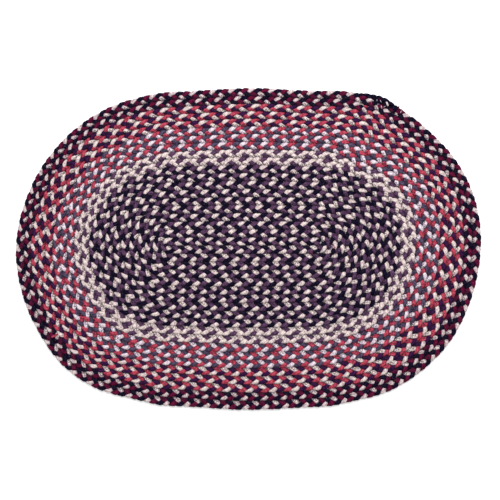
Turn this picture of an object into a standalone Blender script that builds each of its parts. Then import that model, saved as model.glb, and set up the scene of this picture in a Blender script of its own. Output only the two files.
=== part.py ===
import math

import bmesh
import bpy

# A flat oval rug: one long braid wound in a spiral from the middle outward and sewn edge to edge.
# Lengths are in metres and angles in degrees. X runs along the rug, Y across it and Z up.

for old in list(bpy.data.objects):
    bpy.data.objects.remove(old, do_unlink=True)

# The even plan: straight rows joined by half rings about two centres
ROW_WIDTH = 0.0127          # one row of braid
ROUNDS = 20                 # rows on each side of the seam along the middle
RUG_LENGTH = 0.7375
HALF_WIDTH = ROUNDS * ROW_WIDTH
LEFT_CENTRE = -RUG_LENGTH / 2 + HALF_WIDTH
RIGHT_CENTRE = RUG_LENGTH / 2 - HALF_WIDTH - ROW_WIDTH / 2

# Heights above the flat underside
CREST_HEIGHT = 0.0086       # along the middle of a row
SHOULDER_HEIGHT = 0.0077    # a quarter of a row either side of it
SEAM_HEIGHT = 0.0046        # where two rows are sewn together
EDGE_TUCK = 0.0022          # how far the rim turns under at its foot

# The outer end of the braid, on the last right-hand turn
END_FULL_ANGLE = 63.0       # the row keeps its width up to here
END_TIP_ANGLE = 75.0        # and has tapered away by here

# How the sewn rug departs from the even plan
SEAM_SHIFT = 0.007          # the middle seam lies this far off the centre line
LEFT_BARREL = 0.025         # the long sides draw in by this share towards the turns
RIGHT_BARREL = 0.02
BARREL_REACH = 0.14
LEFT_SQUEEZE = 0.013        # the two centres lie this much nearer the ends
RIGHT_SQUEEZE = 0.001
RIM_STRETCH = 0.99          # row spacing at the rim of a turn, as a share of the even spacing
RIM_SWELL = 0.0010          # the free edge of the last row stands out this much

# Where the sewer's hand drew rows in or let them out: the direction seen from the nearer
# centre, its spread, the row where it is strongest, and the push outward
PULLS = [
    (45.0, 25.0, 24.0, -0.0070),
    (62.0, 17.0, 10.0, -0.0095),
    (67.0, 5.0, 26.0, 0.0035),
    (75.0, 9.5, 21.0, 0.0080),
    (88.0, 8.0, 12.0, 0.0040),
    (108.0, 20.0, 12.0, -0.0035),
    (155.0, 40.0, 24.0, -0.0110),
    (195.0, 60.0, 12.0, 0.0130),
    (210.0, 25.0, 12.0, -0.0060),
    (226.0, 11.0, 20.0, 0.0030),
    (257.0, 12.0, 24.0, -0.0080),
    (282.0, 10.0, 20.0, -0.0050),
    (320.0, 10.0, 24.0, 0.0020),
    (355.0, 20.0, 14.0, -0.0035),
]

# Mesh steps
TURN_STEPS = 24
STRAIGHT_STEPS = 5

ACROSS = [(0.0, SEAM_HEIGHT), (0.25, SHOULDER_HEIGHT), (0.5, CREST_HEIGHT),
          (0.75, SHOULDER_HEIGHT), (1.0, SEAM_HEIGHT)]


def squeeze(reach, full_reach, shift):
    mean = 1 - shift / full_reach
    return reach * (2 * mean - RIM_STRETCH + (RIM_STRETCH - mean) * reach / full_reach)


def pull(x, y):
    dx, dy, extra = 0.0, y, 0.0
    if x < LEFT_CENTRE:
        dx = x - LEFT_CENTRE
    elif x > RIGHT_CENTRE:
        dx, dy, extra = x - RIGHT_CENTRE, y - ROW_WIDTH / 2, 0.5
    direction = math.atan2(dy, dx)
    row = math.hypot(dx, dy) / ROW_WIDTH + extra * math.sin(direction)
    rim_row = ROUNDS
    if x > RIGHT_CENTRE and math.degrees(direction) <= END_TIP_ANGLE:
        rim_row += 0.5 + 0.5 * math.sin(direction)
    out = RIM_SWELL * min(1.0, max(0.0, (row - rim_row) * 2 + 1))
    for at, spread, strongest, push in PULLS:
        away = (math.degrees(direction) - at + 180) % 360 - 180
        share = (row / strongest) ** 2
        out += push * math.exp(-((away / spread) ** 2)) * share * math.exp(1 - share)
    return x + out * math.cos(direction), y + out * math.sin(direction)


def sewn(x, y):
    x, y = pull(x, y)
    y += SEAM_SHIFT * (1 - (y / HALF_WIDTH) ** 2)
    left = LEFT_CENTRE - LEFT_SQUEEZE
    right = RIGHT_CENTRE + RIGHT_SQUEEZE
    if x < LEFT_CENTRE:
        x = left - squeeze(LEFT_CENTRE - x, HALF_WIDTH, LEFT_SQUEEZE)
    elif x > RIGHT_CENTRE:
        x = right + squeeze(x - RIGHT_CENTRE, HALF_WIDTH + ROW_WIDTH / 2, RIGHT_SQUEEZE)
    else:
        x = left + (x - LEFT_CENTRE) / (RIGHT_CENTRE - LEFT_CENTRE) * (right - left)
    barrel = LEFT_BARREL if x < 0 else RIGHT_BARREL
    drawn = min(1.0, abs(x) / BARREL_REACH)
    return x, y * (1 - barrel * (0.5 - 0.5 * math.cos(math.pi * drawn)))


def ring_point(centre_x, centre_y, radius, angle):
    turn = math.radians(angle)
    return centre_x + radius * math.cos(turn), centre_y + radius * math.sin(turn)


def end_share(angle):
    past = max(0.0, (angle - END_FULL_ANGLE) / (END_TIP_ANGLE - END_FULL_ANGLE))
    return 1 - past ** 1.4


def top_row(number):
    low = number * ROW_WIDTH
    run = RIGHT_CENTRE - LEFT_CENTRE
    return [[(RIGHT_CENTRE - run * step / STRAIGHT_STEPS, low + share * ROW_WIDTH)
             for share, height in ACROSS] for step in range(STRAIGHT_STEPS + 1)]


def left_turn(number):
    return [[ring_point(LEFT_CENTRE, 0, (number + share) * ROW_WIDTH, 90 + 180 * step / TURN_STEPS)
             for share, height in ACROSS] for step in range(TURN_STEPS + 1)]


def bottom_row(number):
    low = -(number - 1) * ROW_WIDTH
    run = RIGHT_CENTRE - LEFT_CENTRE
    return [[(LEFT_CENTRE + run * step / STRAIGHT_STEPS, low - share * ROW_WIDTH)
             for share, height in ACROSS] for step in range(STRAIGHT_STEPS + 1)]


def right_turn(number, angles):
    return [[ring_point(RIGHT_CENTRE, ROW_WIDTH / 2, (number - 0.5 + share * width) * ROW_WIDTH, angle)
             for share, height in ACROSS] for angle, width in angles]


mesh = bmesh.new()
corners = {}


def corner(place, height):
    key = (round(place[0], 7), round(place[1], 7))
    if key not in corners:
        x, y = sewn(*place)
        corners[key] = mesh.verts.new((x, y, height))
    return corners[key]


def add_face(verts):
    face = []
    for vert in verts:
        if vert not in face:
            face.append(vert)
    if len(face) > 2:
        mesh.faces.new(face)


def lay(stations, heights):
    rows = [[corner(place, height) for place, height in zip(station, heights)]
            for station in stations]
    for one, two in zip(rows, rows[1:]):
        for a, b, c, d in zip(one, one[1:], two[1:], two):
            add_face((a, b, c, d))


row_heights = [height for share, height in ACROSS]
turn_angles = [-90 + 180 * step / TURN_STEPS for step in range(TURN_STEPS + 1)]

# The rounded start of the braid, in the middle of the rug
start_cap = [[ring_point(RIGHT_CENTRE, ROW_WIDTH / 2, share * ROW_WIDTH, angle)
              for share in (0.0, 0.25, 0.5)] for angle in turn_angles]
lay(start_cap, row_heights[2:])

# Every row in turn, from the middle outward
for number in range(ROUNDS):
    lay(top_row(number), row_heights)
    lay(left_turn(number), row_heights)
    lay(bottom_row(number + 1), row_heights)
    if number + 1 < ROUNDS:
        lay(right_turn(number + 1, [(angle, 1.0) for angle in turn_angles]), row_heights)
    else:
        lay(right_turn(number + 1, [(angle, end_share(angle)) for angle in turn_angles
                                    if angle <= END_TIP_ANGLE]), row_heights)

# The rim, walked in order, then turned under to the flat underside
rim_edges = [edge for edge in mesh.edges if edge.is_boundary]
rim = [rim_edges[0].verts[0], rim_edges[0].verts[1]]
while True:
    ahead = [edge.other_vert(rim[-1]) for edge in rim[-1].link_edges
             if edge.is_boundary and edge.other_vert(rim[-1]) is not rim[-2]]
    if ahead[0] is rim[0]:
        break
    rim.append(ahead[0])

span = list(zip(rim, rim[1:] + rim[:1]))
winding = 1 if sum(a.co.x * b.co.y - b.co.x * a.co.y for a, b in span) > 0 else -1
foot = []
for before, here, after in zip(rim[-1:] + rim[:-1], rim, rim[1:] + rim[:1]):
    along = (after.co - before.co).normalized() * winding
    foot.append(mesh.verts.new((here.co.x - along.y * EDGE_TUCK, here.co.y + along.x * EDGE_TUCK, 0)))
for (a, b), (c, d) in zip(span, zip(foot, foot[1:] + foot[:1])):
    mesh.faces.new((a, b, d, c))
mesh.faces.new(foot)

# Origin at the middle of the underside
xs = [vert.co.x for vert in mesh.verts]
ys = [vert.co.y for vert in mesh.verts]
bmesh.ops.translate(mesh, verts=mesh.verts,
                    vec=(-(min(xs) + max(xs)) / 2, -(min(ys) + max(ys)) / 2, 0))
bmesh.ops.recalc_face_normals(mesh, faces=mesh.faces)

rug_mesh = bpy.data.meshes.new("braided_rug")
mesh.to_mesh(rug_mesh)
mesh.free()
rug = bpy.data.objects.new("braided_rug", rug_mesh)

cloth = bpy.data.materials.new("braid")
cloth.use_nodes = True
shader = cloth.node_tree.nodes["Principled BSDF"]
shader.inputs["Base Color"].default_value = (0.18, 0.09, 0.13, 1.0)
shader.inputs["Roughness"].default_value = 0.9
rug_mesh.materials.append(cloth)

rug_parts = bpy.data.collections.new("oval_braided_rug")
bpy.context.scene.collection.children.link(rug_parts)
rug_parts.objects.link(rug)
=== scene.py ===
import math
import bpy
import numpy as np
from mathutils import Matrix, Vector
from mathutils.bvhtree import BVHTree


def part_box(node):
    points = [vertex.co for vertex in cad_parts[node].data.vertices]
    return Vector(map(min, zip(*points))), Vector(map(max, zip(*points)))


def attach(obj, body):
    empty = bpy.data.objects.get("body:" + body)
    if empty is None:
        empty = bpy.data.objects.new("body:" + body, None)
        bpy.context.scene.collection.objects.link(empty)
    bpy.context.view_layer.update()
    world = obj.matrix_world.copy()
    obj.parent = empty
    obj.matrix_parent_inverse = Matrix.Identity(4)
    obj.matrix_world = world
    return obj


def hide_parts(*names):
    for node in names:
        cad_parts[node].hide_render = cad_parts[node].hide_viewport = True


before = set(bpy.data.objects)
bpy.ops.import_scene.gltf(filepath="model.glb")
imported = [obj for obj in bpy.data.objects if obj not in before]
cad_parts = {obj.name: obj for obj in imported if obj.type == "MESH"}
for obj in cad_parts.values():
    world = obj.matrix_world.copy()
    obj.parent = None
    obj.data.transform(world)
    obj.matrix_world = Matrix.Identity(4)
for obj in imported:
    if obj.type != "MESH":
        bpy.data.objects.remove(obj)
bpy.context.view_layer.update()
bpy.ops.object.select_all(action="DESELECT")

# helpers


def paint(red, green, blue):
    # a colour as seen on a screen, 0 to 255, as the shader wants it
    seen = [value / 255 for value in (red, green, blue)]
    linear = [value / 12.92 if value < 0.04045 else ((value + 0.055) / 1.055) ** 2.4 for value in seen]
    return (*linear, 1.0)


def smoothStep(t):
    t = np.clip(t, 0.0, 1.0)
    return t * t * (3 - 2 * t)


def uneven(along, spacing, seed):
    # a hand's slow unevenness, from -1 to 1, with its own seed for each use
    draw = np.random.default_rng(seed)
    shares = (1.0, 0.61, 0.37)  # length and height of its three waves, against the first
    total = np.zeros_like(along)
    for share in shares:
        wave = spacing * share * draw.uniform(0.85, 1.2)
        total += share * np.sin(2 * np.pi * along / wave + draw.uniform(0, 2 * np.pi))
    return total / sum(shares)


def unit(vectors):
    return vectors / np.linalg.norm(vectors, axis=1)[:, None]


def lengthAlong(points):
    # how far each point lies from the first, along the line through them
    return np.concatenate([[0.0], np.cumsum(np.linalg.norm(np.diff(points, axis=0), axis=1))])


# the plan: one braid coiled into an oval

rug = {
    "rowWidth": 0.0127,
    "rounds": 20,
    "length": 0.7375,
    "seamShift": 0.007,  # the middle seam lies this far off the centre line
    "leftBarrel": 0.025,  # the long sides draw in by this share towards the turns
    "rightBarrel": 0.02,
    "barrelReach": 0.14,
    "leftSqueeze": 0.013,  # the two centres lie this much nearer the ends
    "rightSqueeze": 0.001,
    "rimStretch": 0.99,  # row spacing at the rim of a turn, as a share of the even spacing
    "pulls": [  # direction, spread, row where it is strongest, push outward
        (45.0, 25.0, 24.0, -0.0070),
        (62.0, 17.0, 10.0, -0.0095),
        (67.0, 5.0, 26.0, 0.0035),
        (75.0, 9.5, 21.0, 0.0080),
        (88.0, 8.0, 12.0, 0.0040),
        (108.0, 20.0, 12.0, -0.0035),
        (155.0, 40.0, 24.0, -0.0110),
        (195.0, 60.0, 12.0, 0.0130),
        (210.0, 25.0, 12.0, -0.0060),
        (226.0, 11.0, 20.0, 0.0030),
        (257.0, 12.0, 24.0, -0.0080),
        (282.0, 10.0, 20.0, -0.0050),
        (320.0, 10.0, 24.0, 0.0020),
        (355.0, 20.0, 14.0, -0.0035),
    ],
    "endFullAngle": 63.0,  # the last row keeps its width up to here
    "endTipAngle": 75.0,
    "endTaper": 1.4,
    "endWidth": 0.12,  # what is left of its width at the tip
    "rimSwell": 0.0010,  # the free edge of the last round stands out this much
    "startReach": 0.0052,  # how far the braid's beginning stands past the first row
    "sampling": 0.001,
}
rowWidth = rug["rowWidth"]
halfWidth = rug["rounds"] * rowWidth
leftCentre = -rug["length"] / 2 + halfWidth
rightCentre = rug["length"] / 2 - halfWidth - rowWidth / 2


def squeezeEnd(reach, fullReach, shift):
    # how far from its shifted centre a turn holds a point, so that the rim stays where it was
    mean = 1 - shift / fullReach
    return reach * (2 * mean - rug["rimStretch"] + (rug["rimStretch"] - mean) * reach / fullReach)


def pull(x, y):
    # rows drawn in or let out by the sewer's hand
    onLeft, onRight = x < leftCentre, x > rightCentre
    dx = np.where(onLeft, x - leftCentre, np.where(onRight, x - rightCentre, 0.0))
    dy = np.where(onRight, y - rowWidth / 2, y)
    direction = np.arctan2(dy, dx)
    rows = np.hypot(dx, dy) / rowWidth + np.where(onRight, 0.5 * np.sin(direction), 0.0)
    ended = direction > math.radians(rug["endTipAngle"])
    rimRow = rug["rounds"] + np.where(onRight & ~ended, 0.5 + 0.5 * np.sin(direction), 0.0)
    out = rug["rimSwell"] * np.clip((rows - rimRow) * 2 + 1, 0.0, 1.0)
    for at, spread, strongest, push in rug["pulls"]:
        away = (np.degrees(direction) - at + 180) % 360 - 180
        share = (rows / strongest) ** 2
        out += push * np.exp(-((away / spread) ** 2)) * share * np.exp(1 - share)
    return x + out * np.cos(direction), y + out * np.sin(direction)


def sewn(x, y):
    # where the sewn rug holds a point of the even plan
    x, y = pull(x, y)
    y = y + rug["seamShift"] * (1 - (y / halfWidth) ** 2)
    left, right = leftCentre - rug["leftSqueeze"], rightCentre + rug["rightSqueeze"]
    middle = left + (x - leftCentre) / (rightCentre - leftCentre) * (right - left)
    leftEnd = left - squeezeEnd(leftCentre - x, halfWidth, rug["leftSqueeze"])
    rightEnd = right + squeezeEnd(x - rightCentre, halfWidth + rowWidth / 2, rug["rightSqueeze"])
    x = np.where(x < leftCentre, leftEnd, np.where(x > rightCentre, rightEnd, middle))
    drawn = np.minimum(1.0, np.abs(x) / rug["barrelReach"])
    barrel = np.where(x < 0, rug["leftBarrel"], rug["rightBarrel"])
    return x, y * (1 - barrel * (0.5 - 0.5 * np.cos(np.pi * drawn)))


def straightRow(yInner, yOuter, xFrom, xTo):
    # a stretch's inner edge, its outer edge, the number of its turn, here none, and its angles
    x = np.linspace(xFrom, xTo, int(abs(xTo - xFrom) / rug["sampling"]) + 2)
    inner = np.stack([x, np.full_like(x, yInner)], 1)
    outer = np.stack([x, np.full_like(x, yOuter)], 1)
    return inner, outer, np.zeros_like(x), np.zeros_like(x)


def turnRow(number, centre, innerReach, outerReach, angleFrom, angleTo):
    # the same for a turn, the last of which narrows to the braid's end
    count = int(outerReach * math.radians(angleTo - angleFrom) / rug["sampling"]) + 2
    angle = np.linspace(angleFrom, angleTo, count)
    width = np.ones(count)
    if number == rug["rounds"]:
        past = np.maximum(0.0, (angle - rug["endFullAngle"]) / (rug["endTipAngle"] - rug["endFullAngle"]))
        width = np.maximum(1 - past ** rug["endTaper"], rug["endWidth"])
    reach = innerReach + (outerReach - innerReach) * width
    way = np.stack([np.cos(np.radians(angle)), np.sin(np.radians(angle))], 1)
    inner, outer = np.array(centre) + way * innerReach, np.array(centre) + way * reach[:, None]
    return inner, outer, np.full(count, float(number)), angle


def evenStretches():
    # the braid from its start to its end; right turns are numbered 1, 2, 3, left turns -1, -2, -3
    yield straightRow(0.0, rowWidth, rightCentre + rug["startReach"], rightCentre)
    for k in range(rug["rounds"]):
        near, far = k * rowWidth, (k + 1) * rowWidth
        yield straightRow(near, far, rightCentre, leftCentre)
        yield turnRow(-1 - k, (leftCentre, 0.0), near, far, 90, 270)
        yield straightRow(-near, -far, leftCentre, rightCentre)
        near, far = (k + 0.5) * rowWidth, (k + 1.5) * rowWidth
        angleTo = rug["endTipAngle"] if k + 1 == rug["rounds"] else 90
        yield turnRow(k + 1, (rightCentre, rowWidth / 2), near, far, -90, angleTo)


def joined(stretches):
    # end to end, each without the point that it shares with the one before
    return np.concatenate([stretches[0]] + [stretch[1:] for stretch in stretches[1:]])


def coilPath():
    # the braid's two edges in the sewn rug, with its outline centred on the solid's
    inner, outer, number, angle = (joined(stretches) for stretches in zip(*evenStretches()))
    inner = np.stack(sewn(inner[:, 0], inner[:, 1]), 1)
    outer = np.stack(sewn(outer[:, 0], outer[:, 1]), 1)
    low, high = (np.array(corner[:2]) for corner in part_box("braided_rug"))
    shift = (low + high) / 2 - (outer.min(axis=0) + outer.max(axis=0)) / 2
    inner, outer = inner + shift, outer + shift
    along = lengthAlong((inner + outer) / 2)
    return {"inner": inner, "outer": outer, "along": along, "number": number, "angle": angle}


coil = coilPath()
braidLength = float(coil["along"][-1])
print("braid path", round(braidLength, 2), "m")


def placeOf(number, angle):
    # how far along the braid an angle of one of its turns comes
    there = coil["number"] == number
    return float(np.interp(angle, coil["angle"][there], coil["along"][there]))


def edgeAt(edge, along):
    return np.stack([np.interp(along, coil["along"], coil[edge][:, i]) for i in (0, 1)], 1)


def besideSeam(along, out):
    # points this far outward from the braid's inner edge
    inner = edgeAt("inner", along)
    return inner + unit(edgeAt("outer", along) - inner) * out[:, None]


changes = {  # right turn, angle where the braid's yarns change
    "cream": placeOf(10, 66.0),
    "slate": placeOf(12, 54.0),
    "purple": placeOf(15, 66.0),
    "burgundy": placeOf(18, 70.0),
    "bound": placeOf(20, 62.0),  # from here to its end the braid is bound in navy
}

# yarns

yarns = {  # colour, darker colour painted as shade in the grooves between its ribs and also used for darker fibres and mottling, colour of its flecks, how many flecks
    "creamYarn": ((244, 228, 222), (158, 138, 142), (70, 54, 70), 0.40),
    "rimCreamYarn": ((236, 218, 217), (134, 113, 122), (60, 46, 62), 0.40),
    "whiteYarn": ((246, 232, 239), (160, 143, 158), (62, 52, 76), 0.40),
    "redYarn": ((204, 82, 101), (120, 32, 54), (64, 14, 36), 0.46),
    "burgundyYarn": ((108, 23, 58), (42, 4, 28), (18, 6, 24), 0.44),
    "navyYarn": ((22, 14, 38), (7, 5, 20), (54, 46, 74), 0.38),
    "purpleYarn": ((66, 29, 74), (22, 8, 34), (14, 6, 24), 0.44),
    "plumYarn": ((106, 74, 104), (42, 24, 48), (26, 14, 38), 0.46),
    "slateYarn": ((95, 84, 108), (38, 30, 50), (28, 22, 42), 0.46),
}
yarnTwist = {
    "ribs": 6.0,  # around a strand
    "twist": 105.0,  # ribs met in a metre along it
    "bump": 0.0007,
}
yarnLook = {
    "wobbleGrain": (6.0, 260.0, 1.0),  # each grain: how fine around the strand, along it, and its detail
    "fibreGrain": (34.0, 620.0, 3.0),
    "fleckGrain": (11.0, 430.0, 2.0),
    "mottleGrain": (5.0, 300.0, 2.0),
    "wobble": 1.1,  # keeps the ribs from being ruled lines
    "grooveWidth": 0.55,
    "grooveShadeStrength": 0.75,
    "fibreShade": (0.3, 0.72, 0.42, 0.0),  # between these two values of the grain, these shares of the darker groove colour, as tone
    "mottleShade": (0.38, 0.56, 0.64, 0.0),
    "fleckStart": 0.80,  # flecks show where the grain passes this, lowered by the share of flecks
    "fleckFall": 0.5,
    "fleckEdge": 14.0,
    "fleckDepth": 0.8,
    "roughness": (0.2, 0.8, 0.78, 0.98),
    "ribHeight": 0.7,
    "fibreHeight": 0.3,
    "dimBelow": 0.0040,  # painted shade, darkest from here down, where a strand passes under its neighbours
    "fullAbove": 0.0076,
    "lowShadeStrength": 0.38,
    "bumpStrength": 0.8,
    "specular": 0.04,
}


def wire(tree, node, socket, source):
    tree.links.new(source, node.inputs[socket])


def mathNode(tree, operation, first, second=None):
    node = tree.nodes.new("ShaderNodeMath")
    node.operation = operation
    for place, value in enumerate((first, second)):
        if isinstance(value, (int, float)):
            node.inputs[place].default_value = value
        elif value is not None:
            wire(tree, node, place, value)
    return node.outputs[0]


def mixColour(tree, share, first, second):
    node = tree.nodes.new("ShaderNodeMix")
    node.data_type = "RGBA"
    wire(tree, node, 0, share)
    wire(tree, node, 6, first)
    if isinstance(second, tuple):
        node.inputs[7].default_value = second
    else:
        wire(tree, node, 7, second)
    return node.outputs[2]


def remap(tree, value, low, high, toLow, toHigh):
    node = tree.nodes.new("ShaderNodeMapRange")
    node.interpolation_type = "SMOOTHSTEP"
    for place, number in enumerate((low, high, toLow, toHigh), 1):
        node.inputs[place].default_value = number
    wire(tree, node, 0, value)
    return node.outputs[0]


def strandNoise(tree, around, length, grain):
    # noise that follows the strand
    fineAround, fineAlong, detail = grain
    place = tree.nodes.new("ShaderNodeCombineXYZ")
    wire(tree, place, 0, mathNode(tree, "MULTIPLY", around, fineAround))
    wire(tree, place, 1, mathNode(tree, "MULTIPLY", length, fineAlong))
    node = tree.nodes.new("ShaderNodeTexNoise")
    node.inputs["Scale"].default_value = 1.0
    node.inputs["Detail"].default_value = detail
    wire(tree, node, "Vector", place.outputs[0])
    return node.outputs["Fac"]


def makeYarnGroup():
    # twisted yarn: ribs round the strand with painted shade in their grooves, fibres along it, flecks,
    # slow changes of tone, and painted shade where the strand lies low
    group = bpy.data.node_groups.new("twistedYarn", "ShaderNodeTree")
    for name in ("Colour", "GrooveShadeAndTone", "Fleck"):
        group.interface.new_socket(name, in_out="INPUT", socket_type="NodeSocketColor")
    for name in ("Flecks", "Ribs", "Twist"):
        group.interface.new_socket(name, in_out="INPUT", socket_type="NodeSocketFloat")
    group.interface.new_socket("Colour", in_out="OUTPUT", socket_type="NodeSocketColor")
    for name in ("Roughness", "Height"):
        group.interface.new_socket(name, in_out="OUTPUT", socket_type="NodeSocketFloat")
    given = group.nodes.new("NodeGroupInput").outputs
    result = group.nodes.new("NodeGroupOutput")

    def times(first, second):
        return mathNode(group, "MULTIPLY", first, second)

    def plus(first, second):
        return mathNode(group, "ADD", first, second)

    def minus(first, second):
        return mathNode(group, "SUBTRACT", first, second)

    uv = group.nodes.new("ShaderNodeUVMap")
    uv.uv_map = "strand"
    split = group.nodes.new("ShaderNodeSeparateXYZ")
    wire(group, split, 0, uv.outputs[0])
    around, length = split.outputs[0], split.outputs[1]
    wobble, fibre, spots, mottle = (
        strandNoise(group, around, length, yarnLook[grain])
        for grain in ("wobbleGrain", "fibreGrain", "fleckGrain", "mottleGrain")
    )

    turns = plus(times(around, given["Ribs"]), times(length, given["Twist"]))
    turns = plus(turns, times(wobble, yarnLook["wobble"]))
    rib = mathNode(group, "ABSOLUTE", mathNode(group, "SINE", times(turns, math.pi)))
    # painted shade in the grooves between the ribs
    grooveShade = times(remap(group, rib, 0.0, yarnLook["grooveWidth"], 1.0, 0.0), yarnLook["grooveShadeStrength"])

    threshold = minus(yarnLook["fleckStart"], times(given["Flecks"], yarnLook["fleckFall"]))
    fleck = group.nodes.new("ShaderNodeClamp")
    wire(group, fleck, 0, times(minus(spots, threshold), yarnLook["fleckEdge"]))

    place = group.nodes.new("ShaderNodeTexCoord")
    lift = group.nodes.new("ShaderNodeSeparateXYZ")
    wire(group, lift, 0, place.outputs["Object"])
    # painted shade: the colour darkens towards black where the strand lies low
    paintedLowShade = remap(group, lift.outputs[2], yarnLook["dimBelow"], yarnLook["fullAbove"], 1.0, 0.0)

    shaded = mixColour(group, grooveShade, given["Colour"], given["GrooveShadeAndTone"])
    shaded = mixColour(group, remap(group, fibre, *yarnLook["fibreShade"]), shaded, given["GrooveShadeAndTone"])
    shaded = mixColour(group, remap(group, mottle, *yarnLook["mottleShade"]), shaded, given["GrooveShadeAndTone"])
    shaded = mixColour(group, times(fleck.outputs[0], yarnLook["fleckDepth"]), shaded, given["Fleck"])
    shaded = mixColour(group, times(paintedLowShade, yarnLook["lowShadeStrength"]), shaded, (0.0, 0.0, 0.0, 1.0))
    wire(group, result, "Colour", shaded)
    wire(group, result, "Roughness", remap(group, fibre, *yarnLook["roughness"]))
    height = plus(times(rib, yarnLook["ribHeight"]), times(fibre, yarnLook["fibreHeight"]))
    wire(group, result, "Height", height)
    return group


yarnGroup = makeYarnGroup()


def makeYarn(name, look, twist):
    colour, grooveShade, fleck, flecks = look
    material = bpy.data.materials.new(name)
    material.use_nodes = True
    tree = material.node_tree
    shader = tree.nodes["Principled BSDF"]
    yarn = tree.nodes.new("ShaderNodeGroup")
    yarn.node_tree = yarnGroup
    yarn.inputs["Colour"].default_value = paint(*colour)
    yarn.inputs["GrooveShadeAndTone"].default_value = paint(*grooveShade)
    yarn.inputs["Fleck"].default_value = paint(*fleck)
    yarn.inputs["Flecks"].default_value = flecks
    yarn.inputs["Ribs"].default_value = twist["ribs"]
    yarn.inputs["Twist"].default_value = twist["twist"]
    raised = tree.nodes.new("ShaderNodeBump")
    raised.inputs["Strength"].default_value = yarnLook["bumpStrength"]
    raised.inputs["Distance"].default_value = twist["bump"]
    wire(tree, raised, "Height", yarn.outputs["Height"])
    wire(tree, shader, "Base Color", yarn.outputs["Colour"])
    wire(tree, shader, "Roughness", yarn.outputs["Roughness"])
    wire(tree, shader, "Normal", raised.outputs["Normal"])
    shader.inputs["Specular IOR Level"].default_value = yarnLook["specular"]
    material.diffuse_color = paint(*colour)
    return material


materials = {name: makeYarn(name, look, yarnTwist) for name, look in yarns.items()}
print("yarn materials made")

# the braid's strands

braid = {
    "firstPeriod": 0.0331,  # length of braid in which a strand goes across and back
    "laterPeriods": [("slate", 0.0329), ("purple", 0.0360), ("burgundy", 0.0312)],
    "blend": 0.15,
    "stations": 16,  # rings to a period
    "sides": 8,
    "sway": 0.70,  # of half the row's width
    "middle": 0.0043,
    "lift": 0.0020,
    "tilt": 0.0005,  # the side sewn to the round before lies lower
    "halfWidth": 0.0035,
    "halfThick": 0.0025,
    "swell": 0.12,  # a strand is this much fuller where it lies on top
    "leastWidth": 0.68,  # kept where the row narrows to the braid's end
    "roll": 1.4,
    "endSize": 0.35,  # of a strand's full size, at its two ends
    "endStations": 3.0,
    "floor": 0.0003,
    "uneven": {  # how much, over what length of braid, and a seed to which each strand adds its own
        "pace": (0.25, 0.15, 11),
        "pull": (0.12, 0.03, 12),
        "side": (0.00035, 0.11, 13),
        "strandPull": (0.12, 0.045, 0),
        "height": (0.00022, 0.04, 1),
        "plump": (0.07, 0.021, 2),
    },
}
strandKinds = {  # place in the plait, thickness against the others, seed, how much later its yarns change
    "light": (0.0, 0.95, 20, -0.008),
    "second": (-2 * math.pi / 3, 1.03, 30, 0.003),
    "third": (-4 * math.pi / 3, 1.03, 40, 0.009),
}


def slack(kind, along, strandSeed=0):
    # how far one measure of the braid strays along its length
    amount, spacing, seed = braid["uneven"][kind]
    return amount * uneven(along, spacing, seed + strandSeed)


def braidTurns():
    # the braid's turning along its length, a little tighter or looser as the hand went
    along = coil["along"]
    period = np.full_like(along, braid["firstPeriod"])
    for start, length in braid["laterPeriods"]:
        period += (length - period) * smoothStep((along - changes[start]) / braid["blend"] + 0.5)
    turns = np.concatenate([[0.0], np.cumsum(np.diff(along) * 2 * np.pi / period[1:])])
    return turns + slack("pace", along) + slack("pull", along)


coil["turns"] = braidTurns()


def tube(name, points, wide, thin, wideAxis, thinAxis, sides, material):
    # a closed tube through points, with its own section at each, and the strand's UV map
    count = len(points)
    turn = (np.arange(sides) / sides - 0.25) * 2 * np.pi
    sideways = (wide[:, None] * np.cos(turn))[:, :, None] * wideAxis[:, None]
    upward = (thin[:, None] * np.sin(turn))[:, :, None] * thinAxis[:, None]
    rings = points[:, None] + sideways + upward
    verts = np.concatenate([rings.reshape(-1, 3), points[:1], points[-1:]])
    verts[:, 2] = np.maximum(verts[:, 2], braid["floor"])

    ring, side = np.divmod(np.arange((count - 1) * sides), sides)
    after = (side + 1) % sides
    near, far = ring * sides, (ring + 1) * sides
    quads = np.stack([near + side, near + after, far + after, far + side], 1)
    startPoint, endPoint, endRing = count * sides, count * sides + 1, (count - 1) * sides
    pairs = [(i, (i + 1) % sides) for i in range(sides)]
    startCap = [(startPoint, j, i) for i, j in pairs]
    endCap = [(endPoint, endRing + i, endRing + j) for i, j in pairs]
    mesh = bpy.data.meshes.new(name)
    mesh.from_pydata(verts.tolist(), [], quads.tolist() + startCap + endCap)

    # the map runs around the strand as a share and along it in metres
    lengths = lengthAlong(points)
    u0, u1 = side / sides, (side + 1) / sides
    v0, v1 = lengths[ring], lengths[ring + 1]
    quadUv = np.stack([u0, v0, u1, v0, u1, v1, u0, v1], 1)
    start, end = lengths[0], lengths[-1]
    startUv = [(0.5, start, (i + 1) / sides, start, i / sides, start) for i in range(sides)]
    endUv = [(0.5, end, i / sides, end, (i + 1) / sides, end) for i in range(sides)]
    layer = mesh.uv_layers.new(name="strand")
    uv = np.concatenate([np.ravel(part) for part in (quadUv, startUv, endUv)])
    layer.data.foreach_set("uv", uv.astype(np.float32))

    mesh.shade_smooth()
    mesh.materials.append(material)
    piece = bpy.data.objects.new(name, mesh)
    bpy.context.collection.objects.link(piece)
    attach(piece, "root")
    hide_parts("braided_rug")
    return piece


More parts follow.
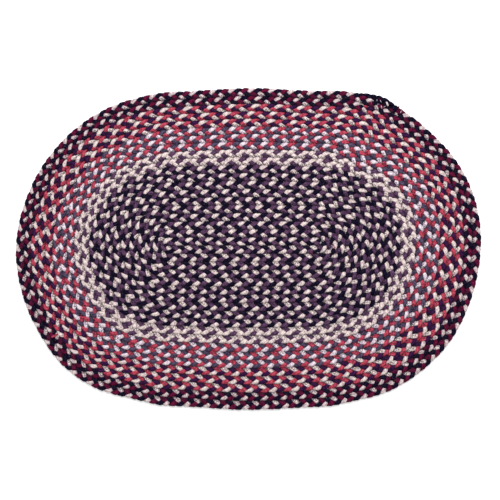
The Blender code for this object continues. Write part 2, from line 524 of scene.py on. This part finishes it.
def layStrand(name, start, end, strand, yarn, fullness):
    # one strand of the plait from where its yarn starts to where it ends
    phase, size, seed, later = strandKinds[strand]
    start = start + later if start > 0 else start
    end = end + later if end < braidLength else end
    count = int(round((end - start) / braid["firstPeriod"] * braid["stations"]))
    along = np.linspace(start, end, count)

    # the middle of the strand as it crosses its two neighbours
    inner, outer = edgeAt("inner", along), edgeAt("outer", along)
    across, width = unit(outer - inner), np.linalg.norm(outer - inner, axis=1)
    t = np.interp(along, coil["along"], coil["turns"]) + phase + slack("strandPull", along, seed)
    sway = braid["sway"] * width / 2 * np.sin(t) + slack("side", along)
    height = braid["middle"] - braid["lift"] * np.sin(2 * t) + braid["tilt"] * np.sin(t)
    height += slack("height", along, seed)
    points = np.column_stack([(inner + outer) / 2 + across * sway[:, None], height])

    # its section, which leans over as it crosses
    way = unit(np.gradient(points, axis=0))
    lean = np.pi / 2 + np.arctan(2 * braid["roll"] * np.cos(t))
    thinAxis = np.column_stack([across * np.sin(lean)[:, None], np.cos(lean)])
    thinAxis = unit(thinAxis - way * np.sum(thinAxis * way, axis=1)[:, None])
    wideAxis = np.cross(thinAxis, way)
    plump = size * fullness * (1 - braid["swell"] * np.sin(2 * t)) * (1 + slack("plump", along, seed))
    fromEnd = np.minimum(np.arange(count), np.arange(count)[::-1])
    plump *= np.minimum(1.0, fromEnd / braid["endStations"] + braid["endSize"])
    wide = braid["halfWidth"] * plump * np.maximum(braid["leastWidth"], width / rowWidth)
    thin = braid["halfThick"] * plump
    piece = tube(name, points, wide, thin, wideAxis, thinAxis, braid["sides"], materials[yarn])
    piece["strandLength"] = float(lengthAlong(points)[-1])
    return piece


strandRuns = [  # piece, start, end, strand, yarn, fullness
    ("creamStrandInner", 0.0, changes["slate"], "light", "creamYarn", 1.0),
    ("whiteStrand", changes["slate"], changes["purple"], "light", "whiteYarn", 1.0),
    ("creamStrandOuter", changes["purple"], changes["burgundy"], "light", "creamYarn", 1.0),
    ("creamStrandRim", changes["burgundy"], changes["bound"], "light", "rimCreamYarn", 0.90),
    ("plumStrand", 0.0, changes["slate"], "second", "plumYarn", 1.0),
    ("slateStrand", changes["slate"], changes["purple"], "second", "slateYarn", 0.96),
    ("purpleStrand", changes["purple"], changes["burgundy"], "second", "purpleYarn", 1.0),
    ("burgundyStrand", changes["burgundy"], changes["bound"], "second", "burgundyYarn", 1.0),
    ("navyStrandInner", 0.0, changes["cream"], "third", "navyYarn", 1.0),
    ("creamStrandBand", changes["cream"], changes["slate"], "third", "creamYarn", 1.0),
    ("redStrand", changes["slate"], changes["burgundy"], "third", "redYarn", 0.94),
    ("navyStrandOuter", changes["burgundy"], braidLength, "third", "navyYarn", 1.0),
    ("endBindingFirst", changes["bound"], braidLength, "light", "navyYarn", 1.0),
    ("endBindingSecond", changes["bound"], braidLength, "second", "navyYarn", 1.0),
]
strandPieces = [layStrand(*run) for run in strandRuns]
print("strands laid:", {p.name: round(p["strandLength"], 2) for p in strandPieces})

# the sewing thread, in a zigzag along every seam

thread = {
    "yarn": ((48, 42, 58), (30, 26, 38), (70, 62, 82), 0.2),
    "twist": {"ribs": 2.0, "twist": 900.0, "bump": 0.0001},
    "startAngle": 268.0,  # on the first left turn
    "endGap": 0.03,
    "pitch": 0.0056,
    "pitchJitter": 0.0007,
    "insideSeam": 0.0006,
    "reach": 0.0042,  # from the seam over the next row
    "reachJitter": 0.0007,
    "nearPoint": (0.33, 0.28),  # between seam and tip: share of the way along, share of the reach
    "farPoint": (0.67, 0.70),
    "halfThick": 0.00038,
    "sides": 3,
    "proud": 0.00036,
    "dive": 0.0006,  # at the seam and at the tip
    "seed": 77,
}
needle = {"from": 0.03, "missed": 0.004}  # where it starts, and the height taken if it meets nothing


def clothUnder(pieces):
    # what a needle meets from above
    corners, faces, first = [], [], 0
    for piece in pieces:
        mesh = piece.data
        place = np.empty(len(mesh.vertices) * 3)
        mesh.vertices.foreach_get("co", place)
        corners.append(place.reshape(-1, 3))
        faces += [tuple(first + v for v in face.vertices) for face in mesh.polygons]
        first += len(mesh.vertices)
    return BVHTree.FromPolygons(np.concatenate(corners).tolist(), faces)


def topOf(cloth, spots):
    # the height of the cloth at each spot
    hits = [cloth.ray_cast(Vector((x, y, needle["from"])), Vector((0, 0, -1)))[0] for x, y in spots]
    return np.array([hit.z if hit else needle["missed"] for hit in hits])


def zigzag(cloth, start, end):
    # six points to a stitch: in the seam, two on the way out, at the tip, two on the way back
    draw = np.random.default_rng(thread["seed"])
    count = int((end - start) / thread["pitch"])
    seam = start + np.arange(count) * thread["pitch"] + draw.uniform(-1, 1, count) * thread["pitchJitter"]
    tip = seam + thread["pitch"] / 2 + draw.uniform(-1, 1, count) * thread["pitchJitter"]
    reach = thread["reach"] + draw.uniform(-1, 1, count) * thread["reachJitter"]
    (nearAlong, nearOut), (farAlong, farOut) = thread["nearPoint"], thread["farPoint"]
    onward, back = tip - seam, np.roll(seam, -1) - tip
    stops = [
        (seam, np.full(count, -thread["insideSeam"])),
        (seam + onward * nearAlong, reach * nearOut),
        (seam + onward * farAlong, reach * farOut),
        (tip, reach),
        (tip + back * nearAlong, reach * farOut),
        (tip + back * farAlong, reach * nearOut),
    ]
    # the last stitch has no next one to go back to, so it stops before its tip
    along, out = (np.stack(column, 1).ravel()[:-3] for column in zip(*stops))
    spots = besideSeam(along, out)
    high = topOf(cloth, spots) + thread["proud"]
    high[::3] -= thread["dive"]
    return np.column_stack([spots, high])


def layThread(name, points, material, halfThick, sides):
    way = unit(np.gradient(points, axis=0))
    side = unit(np.cross(way, [0, 0, 1.0]))
    radius = np.full(len(points), halfThick)
    tube(name, points, radius, radius, side, np.cross(side, way), sides, material)


cloth = clothUnder(strandPieces)
threadMaterial = makeYarn("sewingThread", thread["yarn"], thread["twist"])
sewing = zigzag(cloth, placeOf(-1, thread["startAngle"]), braidLength - thread["endGap"])
layThread("sewingThread", sewing, threadMaterial, thread["halfThick"], thread["sides"])
print("seams sewn,", len(sewing), "points of thread")

# odd threads: stitches over the braid near its two ends, and a mend

mends = [  # name, along the braid, across from the seam inside, length, lean outward, half thickness, yarn
    ("endStitchA", braidLength - 0.030, 0.0010, 0.0042, 70, 0.0005, "whiteYarn"),
    ("endStitchB", braidLength - 0.034, -0.0030, 0.0048, -40, 0.0005, "whiteYarn"),
    ("endStitchC", braidLength - 0.036, 0.0030, 0.0036, 20, 0.0005, "whiteYarn"),
    ("endStitchD", braidLength - 0.041, -0.0040, 0.0050, 35, 0.0006, "whiteYarn"),
    ("endStitchE", braidLength - 0.045, -0.0005, 0.0044, -60, 0.0006, "whiteYarn"),
    ("endStitchF", braidLength - 0.072, 0.0095, 0.0036, 80, 0.0006, "whiteYarn"),
    ("endWispA", braidLength - 0.033, 0.0048, 0.0062, 10, 0.0009, "burgundyYarn"),
    ("endWispB", braidLength - 0.023, -0.0060, 0.0050, 80, 0.0007, "redYarn"),
    ("endWispC", braidLength - 0.066, 0.0125, 0.0070, 75, 0.0010, "burgundyYarn"),
    ("endLobe", braidLength - 0.047, 0.0060, 0.0056, 30, 0.0015, "creamYarn"),
    ("startStitchA", 1.099, 0.0070, 0.0040, 50, 0.0006, "whiteYarn"),
    ("startStitchB", 1.096, 0.0048, 0.0040, -30, 0.0006, "whiteYarn"),
    ("startStitchC", 1.101, 0.0052, 0.0034, 90, 0.0006, "whiteYarn"),
    ("startStitchD", 1.100, 0.0090, 0.0036, 0, 0.0007, "redYarn"),
    ("startStitchE", 1.091, 0.0028, 0.0030, 20, 0.0005, "whiteYarn"),
    ("startStitchF", 0.507, 0.0108, 0.0026, 0, 0.0005, "whiteYarn"),
    ("startStitchG", 0.503, 0.0100, 0.0026, 0, 0.0005, "whiteYarn"),
    ("startStitchH", 0.498, 0.0112, 0.0026, 0, 0.0005, "whiteYarn"),
    ("startStitchI", 0.489, 0.0116, 0.0040, 0, 0.0006, "redYarn"),
    ("rimMend", placeOf(-19, 217.0), 0.0060, 0.0100, -80, 0.0016, "redYarn"),
    ("rimMendTail", placeOf(-19, 215.0), 0.0062, 0.0060, 30, 0.0007, "redYarn"),
]
mendShape = {
    "points": 9,
    "sides": 6,
    "proud": 0.4,  # its middle line stands this share of the half thickness above the cloth
    "endDip": 0.001,
    "smoothing": (0.25, 0.5, 0.25),
}


def layMend(name, along, across, length, lean, halfThick, yarn):
    step = np.linspace(-0.5, 0.5, mendShape["points"]) * length
    turn = math.radians(lean)
    spots = besideSeam(along + step * math.cos(turn), across + step * math.sin(turn))
    high = np.convolve(np.pad(topOf(cloth, spots), 1, mode="edge"), mendShape["smoothing"], mode="valid")
    high += halfThick * mendShape["proud"] - mendShape["endDip"] * (2 * step / length) ** 4
    layThread(name, np.column_stack([spots, high]), materials[yarn], halfThick, mendShape["sides"])


for mend in mends:
    layMend(*mend)
print("odd threads laid:", len(mends))

# floor, light and camera

studio = {
    "floorSize": 8.0,
    "floorColour": 0.92,
    "floorRoughness": 0.9,
    "floorSpecular": 0.1,
    "floorGlow": 0.22,
    "worldStrength": 0.72,
    "lampPower": 35.0,
    "lampSize": 1.1,
    "lampFrom": (0.10, 0.95, 1.75),
}
bpy.ops.mesh.primitive_plane_add(size=studio["floorSize"], location=(0, 0, 0))
floor = bpy.context.object
floor.name = "paleFloor"
floorPaint = bpy.data.materials.new("paleFloor")
floorPaint.use_nodes = True
floorShader = floorPaint.node_tree.nodes["Principled BSDF"]
floorShader.inputs["Base Color"].default_value = (*[studio["floorColour"]] * 3, 1)
floorShader.inputs["Roughness"].default_value = studio["floorRoughness"]
floorShader.inputs["Specular IOR Level"].default_value = studio["floorSpecular"]
floorShader.inputs["Emission Color"].default_value = (1, 1, 1, 1)
floorShader.inputs["Emission Strength"].default_value = studio["floorGlow"]
floor.data.materials.append(floorPaint)

world = bpy.data.worlds.new("studio")
bpy.context.scene.world = world
world.use_nodes = True
background = world.node_tree.nodes["Background"]
background.inputs["Color"].default_value = (1, 1, 1, 1)
background.inputs["Strength"].default_value = studio["worldStrength"]
bpy.ops.object.light_add(type="AREA", location=studio["lampFrom"])
lamp = bpy.context.object
lamp.data.energy = studio["lampPower"]
lamp.data.size = studio["lampSize"]
lamp.rotation_euler = Vector(studio["lampFrom"]).to_track_quat("Z", "Y").to_euler()

view = {  # straight down
    "height": 1.6,
    "over": (0.00237, -0.00158),
    "across": 0.7913,  # this much spans the picture
    "level": 0.006,  # at this height
    "sensor": 36.0,
    "farthest": 50.0,
}
bpy.ops.object.camera_add(location=(*view["over"], view["height"]), rotation=(0, 0, 0))
camera = bpy.context.object
camera.data.sensor_width = view["sensor"]
camera.data.lens = view["sensor"] * (view["height"] - view["level"]) / view["across"]
camera.data.clip_end = view["farthest"]
bpy.context.scene.camera = camera
bpy.context.scene.view_settings.view_transform = "Standard"
print("studio ready")
